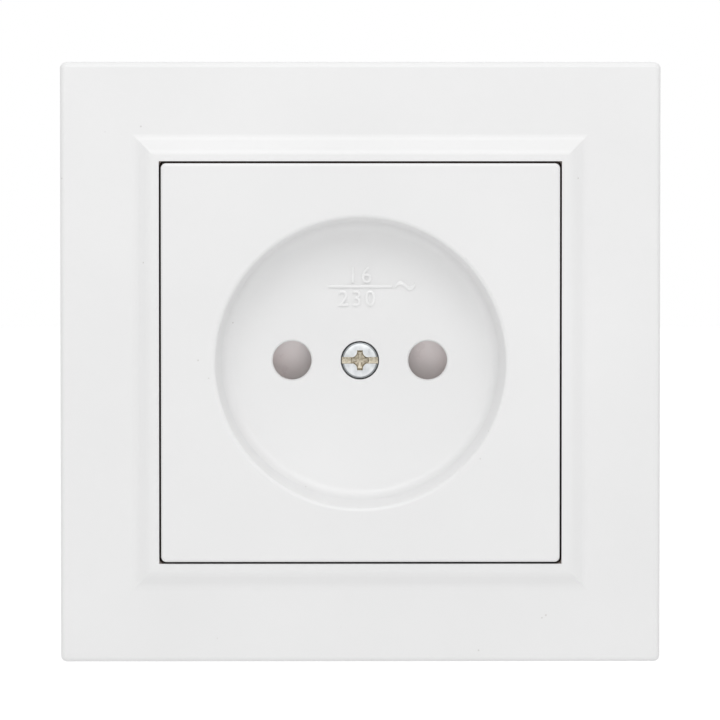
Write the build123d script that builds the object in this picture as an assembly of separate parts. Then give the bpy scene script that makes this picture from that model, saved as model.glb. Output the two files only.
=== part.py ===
from build123d import *
import math
import os

# Flush wall socket for plugs with two round pins and no earth, with its square cover frame,
# mounting strap, base, contacts, pin shutter and spreading claws.
# Sizes are in millimetres. X runs to the right as seen from the room, Z is up and Y runs into
# the wall. The wall plane is y = 0, its middle is the origin, and the room is at negative y.
# The works behind the front repeat after half a turn about Y, so each right-hand piece is
# modelled once and turned to give its left-hand twin.

# Cover frame
frame_size = 83.4
frame_corner = 1.1
frame_draft = 2.0
frame_face = 7.6
frame_edge_round = 0.7
frame_wall = 1.8
bezel_slope = 1.8
bezel_rise = 1.0
bezel_rim = 1.4
bezel_round = 2.0
ledge_width = 1.8
ledge_thick = 1.9
frame_rib = 1.2
frame_rib_offset = 15.0
frame_rib_setback = 0.4
relief_width = 9.0
relief_depth = 3.4
relief_skin = 0.5

# Centre plate with the plug well
plate_size = 55.0
plate_gap = 0.3
plate_proud = 0.7
plate_corner = 0.7
plate_edge_round = 0.4
plate_wall = 1.8
plate_rib = 1.0
plate_rib_depth = 2.6
well_radius = 20.0
well_depth = 11.2
well_draft = 3.0
well_rim_round = 0.6
well_floor_round = 1.5
well_wall = 1.6
floor_thick = 2.0
screw_boss_wall = 2.6
screw_boss_depth = 2.0

# Pin holes and the ways behind them
pin_pitch = 19.0
pin_hole_radius = 2.73
pin_hole_chamfer = 0.2
pin_way_margin = 0.27

# Centre screw and its nut
centre_head_radius = 2.55
centre_head_depth = 2.0
centre_head_dome = 0.2
centre_head_clearance = 0.15
centre_shank_radius = 1.45
centre_screw_tail = 1.5
centre_nut_width = 5.5
centre_nut_thick = 2.4
centre_nut_clearance = 0.1
centre_nut_seat = 1.8
centre_slot_width = 0.9
centre_slot_depth = 0.8
cross_length = 3.3
cross_width = 0.75
cross_depth = 1.3
thread_clearance = 0.05

# Pin shutter
shutter_gap = 0.2
shutter_depth = 4.0
shutter_lip = 0.5
shutter_side_lap = 0.17
shutter_top_lap = 0.17
shutter_low_lap = 0.37
shutter_bridge = 2.5
shutter_travel = 6.0
boss_clearance = 0.3
runner_width = 1.2
runner_length = 5.9

# Tray of the shutter, and its spring
stop_gap = 0.1
tray_side_gap = 0.2
tray_wall = 1.2
tray_floor = 1.0
tray_margin = 1.0
tray_screw_clearance = 1.0
spring_solid = 3.0
spring_radius = 1.4
spring_wire = 0.175
spring_turns = 6.5
spigot_radius = 0.9
spigot_low = 1.6
spigot_high = 1.1
stake_radius = 1.0
stake_head_radius = 1.6
stake_head = 0.6
stake_low_x = 6.5
stake_high_x = 8.0
stake_margin = 1.1

# Mounting strap and its rivets
strap_size = 71.0
strap_corner = 4.0
strap_thick = 1.2
strap_setback = 0.1
box_screw_pitch = 60.0
box_slot_width = 3.6
box_slot_length = 6.5
rivet_angle = 66.9
rivet_reach = 1.2
rivet_radius = 1.25
rivet_head_radius = 2.1
rivet_head = 0.7
rivet_length = 5.3
head_margin = 0.3

# Base and its rear cover
cup_clearance = 0.4
cup_wall = 2.2
cup_floor = 1.6
stake_play = 0.3
base_side_wall = 4.2
base_end_wall = 2.6
base_corner = 3.0
base_back_play = 1.05
boss_radius = 3.1
boss_floor = 0.8
base_cover_thick = 2.0
base_cover_edge = 0.5
cover_screw_place = 12.0
cover_screw_radius = 1.15
cover_screw_head_radius = 2.2
cover_screw_length = 9.0

# Contacts and spring clips
strip_thick = 0.8
strip_bend = 0.9
contact_width = 6.0
contact_throat = 3.6
contact_mouth = 6.2
contact_heel = 3.0
contact_setback = 0.5
contact_lead = 3.3
contact_leaf = 6.7
contact_tail = 6.5
clip_thick = 0.5
clip_width = 4.0
clip_lead = 1.2
clip_flare = 0.9
clip_gap = 0.15
clip_bend = 0.45
clip_margin = 0.4
chamber_side_play = 0.6
chamber_end_play = 0.7

# Terminal blocks
terminal_offset = 10.0
terminal_depth = 7.0
terminal_wall = 1.2
terminal_floor = 0.9
terminal_thread = 3.2
terminal_rise = 3.0
terminal_setback = 2.4
terminal_play = 0.5
wire_spacing = 5.2
wire_radius = 1.7
wire_entry_margin = 0.3
terminal_screw_radius = 1.5
terminal_head_radius = 2.1
terminal_head = 1.6
terminal_slot = 0.8
screw_way_margin = 0.4

# Claws, with their screws and nuts
claw_screw_gap = 0.4
claw_drop = 9.0
claw_screw_radius = 1.5
claw_screw_play = 0.2
claw_screw_way = 0.7
claw_head_radius = 2.6
claw_head = 1.8
claw_head_slot = 0.9
claw_screw_tail = 1.45
claw_travel = 6.0
claw_angle = 35.0
claw_setback = 4.0
claw_thick = 1.2
claw_fork = 6.35
claw_arm = 3.6
claw_flange = 3.0
claw_flange_start = 0.6
claw_reach = 7.0
claw_tooth = 1.8
claw_teeth = 4
claw_play = 0.15
claw_relief_margin = 0.45
claw_tail = 2.0
nut_width = 5.5
nut_thick = 1.8
nut_side_gap = 0.2
nut_gap = 0.05

# Depths, worked out from the sizes above
rim_front = -(frame_face + bezel_rise)
plate_front = rim_front - plate_proud
floor_front = plate_front + well_depth
floor_back = floor_front + floor_thick
strap_back = -strap_setback
strap_front = strap_back - strap_thick
skirt_back = strap_front - ledge_thick
shutter_front = floor_back + shutter_gap
shutter_back = shutter_front + shutter_depth
shutter_middle = (shutter_front + shutter_back) / 2
tray_front = shutter_back + shutter_gap
tray_back = tray_front + tray_floor
cup_floor_front = tray_back + stake_head + stake_play
block_front = cup_floor_front + cup_floor
contact_front = block_front + contact_setback
contact_throat_depth = contact_front + contact_lead
contact_back = contact_throat_depth + contact_leaf
clip_back = contact_back + clip_gap + clip_thick
base_back = clip_back + base_back_play
terminal_front = block_front + terminal_setback
terminal_middle = terminal_front + terminal_depth / 2
centre_nut_front = block_front + centre_nut_seat
centre_screw_end = centre_nut_front + centre_nut_thick + centre_screw_tail
rivet_end = strap_back + rivet_length
claw_front = base_back - claw_setback
claw_back = claw_front + claw_thick
claw_screw_end = claw_back + nut_gap + nut_thick + claw_screw_tail

# Widths, heights and places, worked out from the sizes above
opening = plate_size + 2 * plate_gap
well_outer = well_radius + well_wall
cup_inner = well_outer + cup_clearance
cup_outer = cup_inner + cup_wall
pin_x = pin_pitch / 2
pin_way_radius = pin_hole_radius + pin_way_margin
screw_boss_radius = centre_shank_radius + centre_head_clearance + screw_boss_wall
boss_slot_radius = screw_boss_radius + boss_clearance
leg_half = pin_x + pin_hole_radius + shutter_side_lap
runner_outer = leg_half + runner_width
ramp_top = pin_hole_radius + shutter_top_lap
ramp_bottom = -(pin_hole_radius + shutter_low_lap)
shutter_top = boss_slot_radius + shutter_bridge
runner_bottom = ramp_bottom - runner_length
tray_inner_half = runner_outer + tray_side_gap
tray_outer_half = tray_inner_half + tray_wall
tray_bottom = runner_bottom - stop_gap
tray_top = shutter_top + shutter_travel + spring_solid
tray_radius = cup_inner - tray_margin
stakes = (
    (stake_low_x, tray_bottom + stake_margin),
    (stake_high_x, shutter_top + shutter_travel + stake_radius + stake_margin / 2),
)
rivet_circle = cup_outer + rivet_reach
rivet_x = rivet_circle * math.cos(math.radians(rivet_angle))
rivet_z = rivet_circle * math.sin(math.radians(rivet_angle))
clip_heel = contact_heel + strip_thick + clip_margin + clip_thick / 2
chamber_side = contact_width / 2 + chamber_side_play
chamber_end = clip_heel + clip_thick / 2 + chamber_end_play
terminal_bottom = chamber_end + terminal_rise
wire_z = terminal_bottom + terminal_floor + wire_radius
terminal_top = wire_z + wire_radius + terminal_thread
terminal_half = wire_spacing / 2 + wire_radius + terminal_wall
wire_places = (terminal_offset - wire_spacing / 2, terminal_offset + wire_spacing / 2)
base_half_width = terminal_offset + terminal_half + terminal_play + base_side_wall
base_half_height = terminal_top + terminal_play + base_end_wall
claw_slope = math.tan(math.radians(claw_angle))
claw_spread = claw_travel * claw_slope
claw_z = -claw_drop
claw_x = math.sqrt((cup_outer + claw_screw_gap) ** 2 - claw_drop**2)
claw_slot = claw_screw_radius + claw_screw_play
claw_inner = claw_x - claw_fork
claw_outer = claw_x + claw_arm
claw_half = nut_width / 2 + nut_side_gap + claw_thick


def slab(outline, front, back):
    """A flat solid with the given outline, seen from the room, from y = front to y = back."""
    return extrude(Plane.XZ.offset(-back) * outline, back - front)


def rod(place, radius, front, back):
    """A round bar along Y."""
    return slab(Pos(*place) * Circle(radius), front, back)


def post(radius, length):
    """A round bar along Z, standing on its origin."""
    return Cylinder(radius, length, align=(Align.CENTER, Align.CENTER, Align.MIN))


def block(left, right, bottom, top):
    """A rectangular outline from its four limits."""
    middle = Pos((left + right) / 2, (bottom + top) / 2)
    return middle * Rectangle(right - left, top - bottom)


def square(size):
    """A square outline round the middle."""
    return Rectangle(size, size)


def bent_strip(points, bend, thick, width):
    """A strip of sheet metal at the right pin: a bent line in the YZ plane, made thick and wide."""
    line = FilletPolyline(*points, radius=bend)
    face = Plane.YZ.offset(pin_x) * trace(line, thick)
    return extrude(face, width / 2, both=True)


def round_front(body, radius):
    """The same solid with the circle at its front end rounded."""
    rim = body.edges().filter_by(GeomType.CIRCLE).sort_by(Axis.Y)[0]
    return fillet(rim, radius)


def half_turn(piece):
    """The left-hand twin of a right-hand piece."""
    return Rot(0, 180, 0) * piece


def both_sides(piece):
    """A right-hand piece with its left-hand twin."""
    return [piece, half_turn(piece)]


def rivet_places():
    """The four places of the rivets, each with the words for its row and column."""
    for row, z in (("upper", rivet_z), ("lower", -rivet_z)):
        for column, x in (("left", -rivet_x), ("right", rivet_x)):
            yield row, column, (x, z)


def head_spaces():
    """The room in front of the strap for the heads of the rivets and of the claw screws."""
    for row, column, place in rivet_places():
        radius = rivet_head_radius + head_margin
        yield rod(place, radius, strap_front - rivet_head - head_margin, strap_front)
    for side in (-1, 1):
        place = (side * claw_x, side * claw_z)
        radius = claw_head_radius + head_margin
        yield rod(place, radius, strap_front - claw_head - head_margin, strap_front)


def bezel():
    """Raised bezel of the frame: a softly rounded slope, swept round the opening."""
    inner = opening / 2
    rim = inner + bezel_rim
    foot = rim + bezel_slope
    brim = foot + bezel_round
    root = frame_wall - frame_face
    line = Polyline(
        (inner, root),
        (inner, rim_front),
        (rim, rim_front),
        (foot, -frame_face),
        (brim, -frame_face),
        (brim, root),
        close=True,
    )
    section = make_face(line)
    bends = [corner for corner in section.vertices() if rim <= corner.X <= foot]
    path = Wire((Plane.XZ.offset(frame_face) * square(opening)).edges())
    return sweep(fillet(bends, bezel_round), path=path, transition=Transition.RIGHT)


def cover_frame():
    """Square moulded frame: sloped bezel round the opening, collar with a ledge, ribs behind."""
    outline = RectangleRounded(frame_size, frame_size, frame_corner)
    body = extrude(Plane.XZ * outline, frame_face, taper=frame_draft)
    front_edges = body.faces().sort_by(Axis.Y)[0].edges()
    body = fillet(front_edges, frame_edge_round)
    body += bezel()
    inner_face = frame_wall - frame_face
    hollow_size = frame_size - 2 * frame_wall
    collar_size = opening + 2 * frame_wall
    ledge_size = opening - 2 * ledge_width
    body -= slab(square(hollow_size) - square(collar_size), inner_face, 0)
    body -= slab(square(collar_size), strap_front, 0)
    body -= slab(RectangleRounded(opening, opening, plate_corner), plate_front, skirt_back)
    body -= slab(square(ledge_size), skirt_back, 0)
    rib_outline = block(collar_size / 2, hollow_size / 2, -frame_rib / 2, frame_rib / 2)
    rib = slab(rib_outline, inner_face, strap_front - frame_rib_setback)
    half = relief_width / 2
    pocket = block(ledge_size / 2, collar_size / 2, -half, half)
    notch = block(opening / 2 + relief_skin, collar_size / 2, -half, half)
    relief = slab(pocket, skirt_back + relief_skin, strap_front)
    relief += slab(notch, strap_front - relief_depth, strap_front)
    for turn in range(4):
        side = Rot(0, 90 * turn, 0)
        for offset in (-frame_rib_offset, frame_rib_offset):
            body += side * Pos(0, 0, offset) * rib
        body -= side * relief
    for space in head_spaces():
        body -= space
    return body


def well_space():
    """The space of the plug well, turned about Y, with its rim and floor roundings."""
    floor_radius = well_radius - well_depth * math.tan(math.radians(well_draft))
    outline = Polyline(
        (0, plate_front - 1),
        (well_outer, plate_front - 1),
        (well_outer, plate_front),
        (well_radius, plate_front),
        (floor_radius, floor_front),
        (0, floor_front),
        close=True,
    )
    face = make_face(outline)
    rim = face.vertices().sort_by_distance((well_radius, plate_front, 0))[0]
    face = fillet(rim, well_rim_round)
    foot = face.vertices().sort_by_distance((floor_radius, floor_front, 0))[0]
    face = fillet(foot, well_floor_round)
    return revolve(face, Axis.Y)


def pin_hole():
    """The space of the right pin hole in the floor of the well, with its chamfered mouth."""
    cone = Cone(
        pin_hole_radius + pin_hole_chamfer,
        pin_hole_radius,
        pin_hole_chamfer,
        align=(Align.CENTER, Align.CENTER, Align.MIN),
    )
    mouth = Pos(pin_x, floor_front, 0) * Rot(-90, 0, 0) * cone
    return mouth + rod((pin_x, 0), pin_hole_radius, floor_front, floor_back)


def centre_plate():
    """Square plate with the round plug well, its skirt, ribs, screw boss and tray stakes."""
    outline = RectangleRounded(plate_size, plate_size, plate_corner)
    body = slab(outline, plate_front, skirt_back)
    front_edges = body.faces().sort_by(Axis.Y)[0].edges()
    body = fillet(front_edges, plate_edge_round)
    inner_size = plate_size - 2 * plate_wall
    inner_face = plate_front + plate_wall
    body -= slab(square(inner_size), inner_face, skirt_back)
    body += rod((0, 0), well_outer, inner_face, floor_back)
    rib_back = inner_face + plate_rib_depth
    rib = block(well_radius, inner_size / 2, -plate_rib / 2, plate_rib / 2)
    corner_rib = block(well_radius, inner_size / math.sqrt(2), -plate_rib / 2, plate_rib / 2)
    for turn in range(4):
        side = Rot(0, 90 * turn, 0)
        corner = Rot(0, 90 * turn + 45, 0)
        body += side * slab(rib, inner_face, rib_back)
        body += corner * slab(corner_rib, inner_face, rib_back)
    boss_back = floor_back + screw_boss_depth
    body += rod((0, 0), screw_boss_radius, floor_back, boss_back)
    body -= well_space()
    for space in both_sides(pin_hole()):
        body -= space
    body -= rod((0, 0), centre_head_radius + centre_head_clearance, floor_front, floor_back)
    body -= rod((0, 0), centre_shank_radius + centre_head_clearance, floor_back, boss_back)
    for x, z in stakes:
        for place in ((-x, z), (x, z)):
            body += rod(place, stake_radius, floor_back, tray_back)
            body += rod(place, stake_head_radius, tray_back, tray_back + stake_head)
    for space in head_spaces():
        body -= space
    return body


def centre_screw():
    """Screw with a slotted and cross recessed head, which holds the plate to the base."""
    head_front = floor_front - centre_head_dome
    head_back = floor_front + centre_head_depth
    head = rod((0, 0), centre_head_radius, head_front, head_back)
    body = round_front(head, 2 * centre_head_dome)
    body += rod((0, 0), centre_shank_radius, head_back, centre_screw_end)
    slot = Rectangle(3 * centre_head_radius, centre_slot_width)
    body -= slab(slot, head_front, head_front + centre_slot_depth)
    cross = Rectangle(cross_width, cross_length) + Rectangle(cross_length, cross_width)
    return body - slab(cross, head_front, head_front + cross_depth)


def centre_nut():
    """Square nut that the centre screw pulls on, dropped in from the back of the base."""
    outline = square(centre_nut_width) - Circle(centre_shank_radius + thread_clearance)
    return slab(outline, centre_nut_front, centre_nut_front + centre_nut_thick)


def shutter():
    """Sliding pin shutter: two ramps on legs, a bridge over the screw boss, and two runners."""
    side_view = Polyline(
        (shutter_front, shutter_top),
        (shutter_front, ramp_top),
        (shutter_back - shutter_lip, ramp_bottom),
        (shutter_back, ramp_bottom),
        (shutter_back, shutter_top),
        close=True,
    )
    body = extrude(Plane.YZ * make_face(side_view), leg_half, both=True)
    slot = Circle(boss_slot_radius) + block(-boss_slot_radius, boss_slot_radius, ramp_bottom, 0)
    body -= slab(slot, shutter_front, shutter_back)
    for left, right in ((-runner_outer, -leg_half), (leg_half, runner_outer)):
        runner = block(left, right, runner_bottom, shutter_top)
        body += slab(runner, shutter_front, shutter_back)
    return body + Pos(0, shutter_middle, shutter_top) * post(spigot_radius, spigot_low)


def shutter_spring():
    """Compression spring that pushes the shutter down over the pin holes."""
    height = tray_top - shutter_top - 2 * spring_wire
    line = Helix(height / spring_turns, height, spring_radius)
    section = Plane(origin=line @ 0, z_dir=line % 0) * RegularPolygon(spring_wire, 6)
    coil = sweep(section, path=line, is_frenet=True)
    return Pos(0, shutter_middle, shutter_top + spring_wire) * coil


def shutter_retainer():
    """Tray that the shutter slides in, staked to the back of the centre plate."""
    outer = block(
        -tray_outer_half, tray_outer_half, tray_bottom - tray_wall, tray_top + tray_wall
    )
    inner = block(-tray_inner_half, tray_inner_half, tray_bottom, tray_top)
    outer = outer & Circle(tray_radius)
    inner = inner & Circle(tray_radius - tray_wall)
    body = slab(outer, floor_back, tray_back) - slab(inner, floor_back, tray_front)
    for x in (-pin_x, pin_x):
        body -= rod((x, 0), pin_way_radius, tray_front, tray_back)
    body -= rod((0, 0), centre_shank_radius + tray_screw_clearance, tray_front, tray_back)
    for x, z in stakes:
        for place in ((-x, z), (x, z)):
            body -= rod(place, stake_radius, tray_front, tray_back)
    spigot = Pos(0, shutter_middle, tray_top - spigot_high) * post(spigot_radius, spigot_high)
    return body + spigot


def mounting_strap():
    """Pressed steel strap with the slots for the box screws and the holes for the claw screws."""
    outline = RectangleRounded(strap_size, strap_size, strap_corner) - Circle(cup_inner)
    slot = Pos(box_screw_pitch / 2, 0) * SlotOverall(box_slot_length, box_slot_width)
    for turn in range(4):
        outline -= Rot(0, 0, 90 * turn) * slot
    for row, column, place in rivet_places():
        outline -= Pos(*place) * Circle(rivet_radius)
    for side in (-1, 1):
        outline -= Pos(side * claw_x, side * claw_z) * Circle(claw_slot)
    return slab(outline, strap_front, strap_back)


def strap_rivet(place):
    """Domed rivet that holds the strap on a boss of the base."""
    head = rod(place, rivet_head_radius, strap_front - rivet_head, strap_front)
    return round_front(head, rivet_head * 0.8) + rod(place, rivet_radius, strap_front, rivet_end)


def claw_space(back):
    """The space at the right side for the claw, with the sloped flank that spreads it."""
    foot = claw_inner - claw_play - claw_tail * claw_slope
    side = base_half_width + 1
    flank_back = claw_front + claw_tail
    flank_front = flank_back - (side - foot) / claw_slope
    flank = Polyline(
        (foot, back),
        (foot, flank_back),
        (side, flank_front),
        (claw_outer, flank_front),
        (claw_outer, back),
        close=True,
    )
    half = claw_half + claw_relief_margin
    return extrude(Plane.XY.offset(claw_z) * make_face(flank), half, both=True)


def claw_screw_space():
    """The slot in the right side of the base for the shank of the claw screw."""
    half = claw_screw_radius + claw_screw_way
    outline = block(claw_x - half, claw_outer, claw_z - half, claw_z + half)
    return slab(outline, strap_back, base_back)


def pole_space():
    """The chamber in the base for the right pole: contact, clip, terminal and screw ways."""
    jaw = block(pin_x - chamber_side, pin_x + chamber_side, -chamber_end, chamber_end)
    space = slab(jaw, block_front, base_back)
    half = terminal_half + terminal_play
    low = terminal_bottom - strip_thick - terminal_play
    top = terminal_top + terminal_play
    cage = block(terminal_offset - half, terminal_offset + half, low, top)
    tail = block(pin_x - chamber_side, pin_x + chamber_side, chamber_end, low)
    space += slab(cage + tail, terminal_front - terminal_play, base_back)
    for x in wire_places:
        way = post(terminal_head_radius + screw_way_margin, base_half_height - top)
        space += Pos(x, terminal_middle, top) * way
    return space


def cover_screw_places():
    """The places of the two screws of the rear cover, upper left and lower right."""
    return ((-cover_screw_place, cover_screw_place), (cover_screw_place, -cover_screw_place))


def base():
    """Moulded base: cup for the plug well, rivet bosses, and the block that holds the poles."""
    body = rod((0, 0), cup_outer, strap_back, block_front)
    outline = RectangleRounded(2 * base_half_width, 2 * base_half_height, base_corner)
    body += slab(outline, cup_floor_front, base_back)
    for row, column, place in rivet_places():
        body += rod(place, boss_radius, strap_back, rivet_end + boss_floor)
    body -= rod((0, 0), cup_inner, strap_back, cup_floor_front)
    for row, column, place in rivet_places():
        body -= rod(place, rivet_radius, strap_back, rivet_end)
    for space in (pole_space(), claw_space(base_back), claw_screw_space()):
        for side in both_sides(space):
            body -= side
    for x in (-pin_x, pin_x):
        body -= rod((x, 0), pin_way_radius, cup_floor_front, block_front)
    shank_hole = centre_shank_radius + 2 * centre_nut_clearance
    body -= rod((0, 0), shank_hole, cup_floor_front, base_back)
    body -= slab(square(centre_nut_width + 2 * centre_nut_clearance), centre_nut_front, base_back)
    screw_tip = base_back + base_cover_thick - cover_screw_length
    for place in cover_screw_places():
        body -= rod(place, cover_screw_radius, screw_tip, base_back)
    return body


def base_cover():
    """Rear cover of the base, with the wire entries and two countersunk screw holes."""
    outline = RectangleRounded(2 * base_half_width, 2 * base_half_height, base_corner)
    back = base_back + base_cover_thick
    body = slab(outline, base_back, back)
    rear_edges = body.faces().sort_by(Axis.Y)[-1].edges()
    body = chamfer(rear_edges, base_cover_edge)
    for x in wire_places:
        for side in both_sides(rod((x, wire_z), wire_radius + wire_entry_margin, base_back, back)):
            body -= side
    for side in both_sides(claw_space(back)):
        body -= side
    for place in cover_screw_places():
        body -= cover_screw(place)
    return body


def cover_screw(place):
    """Countersunk screw of the rear cover."""
    back = base_back + base_cover_thick
    cone_height = cover_screw_head_radius - cover_screw_radius
    cone = Cone(
        cover_screw_radius,
        cover_screw_head_radius,
        cone_height,
        align=(Align.CENTER, Align.CENTER, Align.MAX),
    )
    head = Pos(place[0], back, place[1]) * Rot(-90, 0, 0) * cone
    return head + rod(place, cover_screw_radius, back - cover_screw_length, back - cone_height)


def contact():
    """Right contact: two sprung leaves on a heel, and a tail under the terminal block."""
    half = strip_thick / 2
    mouth = contact_mouth / 2 + half
    throat = contact_throat / 2 + half
    heel = contact_heel + half
    back = contact_back - half
    leaf = [
        (contact_front, mouth),
        (contact_throat_depth, throat),
        (back - 2 * strip_bend, heel),
        (back, heel - 1.2 * strip_bend),
    ]
    lower = [(y, -z) for y, z in reversed(leaf)]
    jaws = bent_strip(leaf + lower, strip_bend, strip_thick, contact_width)
    under = terminal_bottom - half
    tail_line = [(back, 0), (back, under), (back - contact_tail, under)]
    tail = bent_strip(tail_line, strip_bend, strip_thick, contact_width)
    window = Box(clip_width + 2 * clip_gap, 2 * strip_thick, clip_thick + 2 * clip_gap)
    return jaws + tail - Pos(pin_x, back, clip_heel) * window


def contact_clip():
    """Steel clip round the leaves of a contact, which adds to their grip."""
    reach = contact_throat / 2 + strip_thick + clip_thick / 2
    back = clip_back - clip_thick / 2
    leaf = [
        (contact_throat_depth - clip_lead, reach + clip_flare),
        (contact_throat_depth, reach + clip_gap),
        (back - contact_heel, clip_heel),
        (back, clip_heel),
    ]
    lower = [(y, -z) for y, z in reversed(leaf)]
    return bent_strip(leaf + lower, clip_bend, clip_thick, clip_width)


def terminal_block():
    """Right terminal block with two wire bores and two screw holes."""
    left = terminal_offset - terminal_half
    right = terminal_offset + terminal_half
    outline = block(left, right, terminal_bottom, terminal_top)
    for x in wire_places:
        outline -= Pos(x, wire_z) * Circle(wire_radius)
    body = slab(outline, terminal_front, terminal_front + terminal_depth)
    hole = post(terminal_screw_radius + thread_clearance, terminal_top - wire_z)
    for x in wire_places:
        body -= Pos(x, terminal_middle, wire_z) * hole
    return body


def terminal_screw(x):
    """Slotted clamping screw of a terminal, its tip at the top of the wire bore."""
    tip = wire_z + wire_radius
    slot = Box(3 * terminal_head_radius, terminal_slot, terminal_head)
    head = post(terminal_head_radius, terminal_head) - Pos(0, 0, terminal_head) * slot
    shank = post(terminal_screw_radius, terminal_top - tip)
    screw = Pos(0, 0, terminal_top) * head + Pos(0, 0, tip) * shank
    return Pos(x, terminal_middle, 0) * screw


def claw():
    """Right spreading claw: folded fork that rides on the screw, with a toothed jaw."""
    low = claw_z - claw_half
    high = claw_z + claw_half
    fork = block(claw_inner, claw_outer, low, high)
    fork -= block(claw_inner, claw_x, claw_z - claw_slot, claw_z + claw_slot)
    fork -= Pos(claw_x, claw_z) * Circle(claw_slot)
    body = slab(fork, claw_front, claw_back)
    start = claw_inner + claw_flange_start
    for bottom, top in ((low, low + claw_thick), (high - claw_thick, high)):
        flange = block(start, claw_outer, bottom, top)
        body += slab(flange, claw_back, claw_back + claw_flange)
    tip = claw_front - claw_reach
    jaw = block(claw_outer - claw_thick, claw_outer, low, high)
    body += slab(jaw, tip, claw_front)
    step = 2 * claw_half / claw_teeth
    root = claw_outer - claw_thick / 2
    edge = [(root, high), (root, low), (claw_outer, low)]
    for tooth in range(claw_teeth):
        edge.append((claw_outer + claw_tooth, low + (tooth + 0.5) * step))
        edge.append((claw_outer, low + (tooth + 1) * step))
    teeth = make_face(Polyline(*edge, close=True))
    return body + slab(teeth, tip, tip + claw_thick)


def claw_nut():
    """Square nut that pulls the claw forward, kept from turning by the claw's flanges."""
    outline = Pos(claw_x, claw_z) * (square(nut_width) - Circle(claw_screw_radius + thread_clearance))
    front = claw_back + nut_gap
    return slab(outline, front, front + nut_thick)


def claw_screw():
    """Claw screw: its head bears on the strap, and turning it moves the nut along."""
    place = (claw_x, claw_z)
    head_front = strap_front - claw_head
    head = round_front(rod(place, claw_head_radius, head_front, strap_front), claw_head / 4)
    slot = Pos(*place) * Rectangle(3 * claw_head_radius, claw_head_slot)
    head -= slab(slot, head_front, head_front + claw_head / 2)
    return head + rod(place, claw_screw_radius, strap_front, claw_screw_end)


nodes = {
    "cover_frame": cover_frame(),
    "centre_plate": centre_plate(),
    "centre_screw": centre_screw(),
    "centre_nut": centre_nut(),
    "shutter": shutter(),
    "shutter_spring": shutter_spring(),
    "shutter_retainer": shutter_retainer(),
    "mounting_strap": mounting_strap(),
    "base": base(),
    "base_cover": base_cover(),
}
for place, height in zip(cover_screw_places(), ("upper", "lower")):
    nodes[f"base_cover_screw_{height}"] = cover_screw(place)
for row, column, place in rivet_places():
    nodes[f"strap_rivet_{row}_{column}"] = strap_rivet(place)
right_pieces = {
    "contact": contact(),
    "contact_clip": contact_clip(),
    "terminal_block": terminal_block(),
    "terminal_screw_inner": terminal_screw(wire_places[0]),
    "terminal_screw_outer": terminal_screw(wire_places[1]),
    "claw": claw(),
    "claw_nut": claw_nut(),
    "claw_screw": claw_screw(),
}
for name, piece in right_pieces.items():
    nodes[f"{name}_right"] = piece
    nodes[f"{name}_left"] = half_turn(piece)

os.makedirs("parts", exist_ok=True)
for name, piece in nodes.items():
    export_step(piece, f"parts/{name}.step")
print(len(nodes), "pieces; each claw spreads by", round(claw_spread, 2), "mm")
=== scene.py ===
import bmesh
import bpy
import math

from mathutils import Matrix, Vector


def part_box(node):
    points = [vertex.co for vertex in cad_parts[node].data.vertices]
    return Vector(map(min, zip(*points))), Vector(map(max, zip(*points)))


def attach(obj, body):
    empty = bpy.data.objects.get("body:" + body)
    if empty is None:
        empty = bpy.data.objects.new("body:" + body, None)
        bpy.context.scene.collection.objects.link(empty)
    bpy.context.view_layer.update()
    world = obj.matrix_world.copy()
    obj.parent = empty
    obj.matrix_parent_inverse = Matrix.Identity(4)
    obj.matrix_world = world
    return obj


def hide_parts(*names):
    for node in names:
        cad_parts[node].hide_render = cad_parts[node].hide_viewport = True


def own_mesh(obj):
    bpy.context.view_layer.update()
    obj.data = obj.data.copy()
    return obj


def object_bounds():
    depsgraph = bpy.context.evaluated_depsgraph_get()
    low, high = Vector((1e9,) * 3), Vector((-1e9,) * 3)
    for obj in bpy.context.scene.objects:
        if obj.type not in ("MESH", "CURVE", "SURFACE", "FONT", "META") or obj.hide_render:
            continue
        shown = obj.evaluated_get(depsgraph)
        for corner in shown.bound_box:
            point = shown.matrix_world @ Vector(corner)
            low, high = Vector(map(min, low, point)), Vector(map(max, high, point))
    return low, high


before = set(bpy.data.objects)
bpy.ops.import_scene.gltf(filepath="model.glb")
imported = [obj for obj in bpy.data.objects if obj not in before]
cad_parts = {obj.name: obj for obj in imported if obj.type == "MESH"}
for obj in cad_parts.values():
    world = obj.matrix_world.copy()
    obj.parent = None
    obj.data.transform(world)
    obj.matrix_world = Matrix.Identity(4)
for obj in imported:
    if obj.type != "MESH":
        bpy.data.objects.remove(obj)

solid_box = [list(corner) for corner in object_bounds()]
MM = 0.001

# The camera stands far off with a long lens, a little to the left of the socket's middle and
# slightly above it, as in the photograph. The picture is 720 pixels wide.
camera_distance = 689 * MM
camera_elevation = math.radians(1.9)
camera_azimuth = math.radians(-0.4)
camera_aim = Vector((0.0, 0, 0.1)) * MM
pixels_per_mm = 7.157
picture_width = 720
sensor_width = 36.0


def clear_selection():
    """Nothing is selected, so that the next operator acts on its own piece alone."""
    if bpy.context.object and bpy.context.object.mode == "EDIT":
        bpy.ops.object.mode_set(mode="OBJECT")
    bpy.ops.object.select_all(action="DESELECT")


def seen_from(distance, azimuth, elevation):
    """A place at a distance from the socket's middle, in a direction as seen from the room."""
    level = distance * math.cos(elevation)
    return Vector((
        level * math.sin(azimuth), -level * math.cos(azimuth), distance * math.sin(elevation)
    ))


def look(thing, aim):
    """Turns a camera or a lamp to a point."""
    thing.rotation_mode = "QUATERNION"
    thing.rotation_quaternion = (aim - thing.location).to_track_quat("-Z", "Y")


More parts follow.
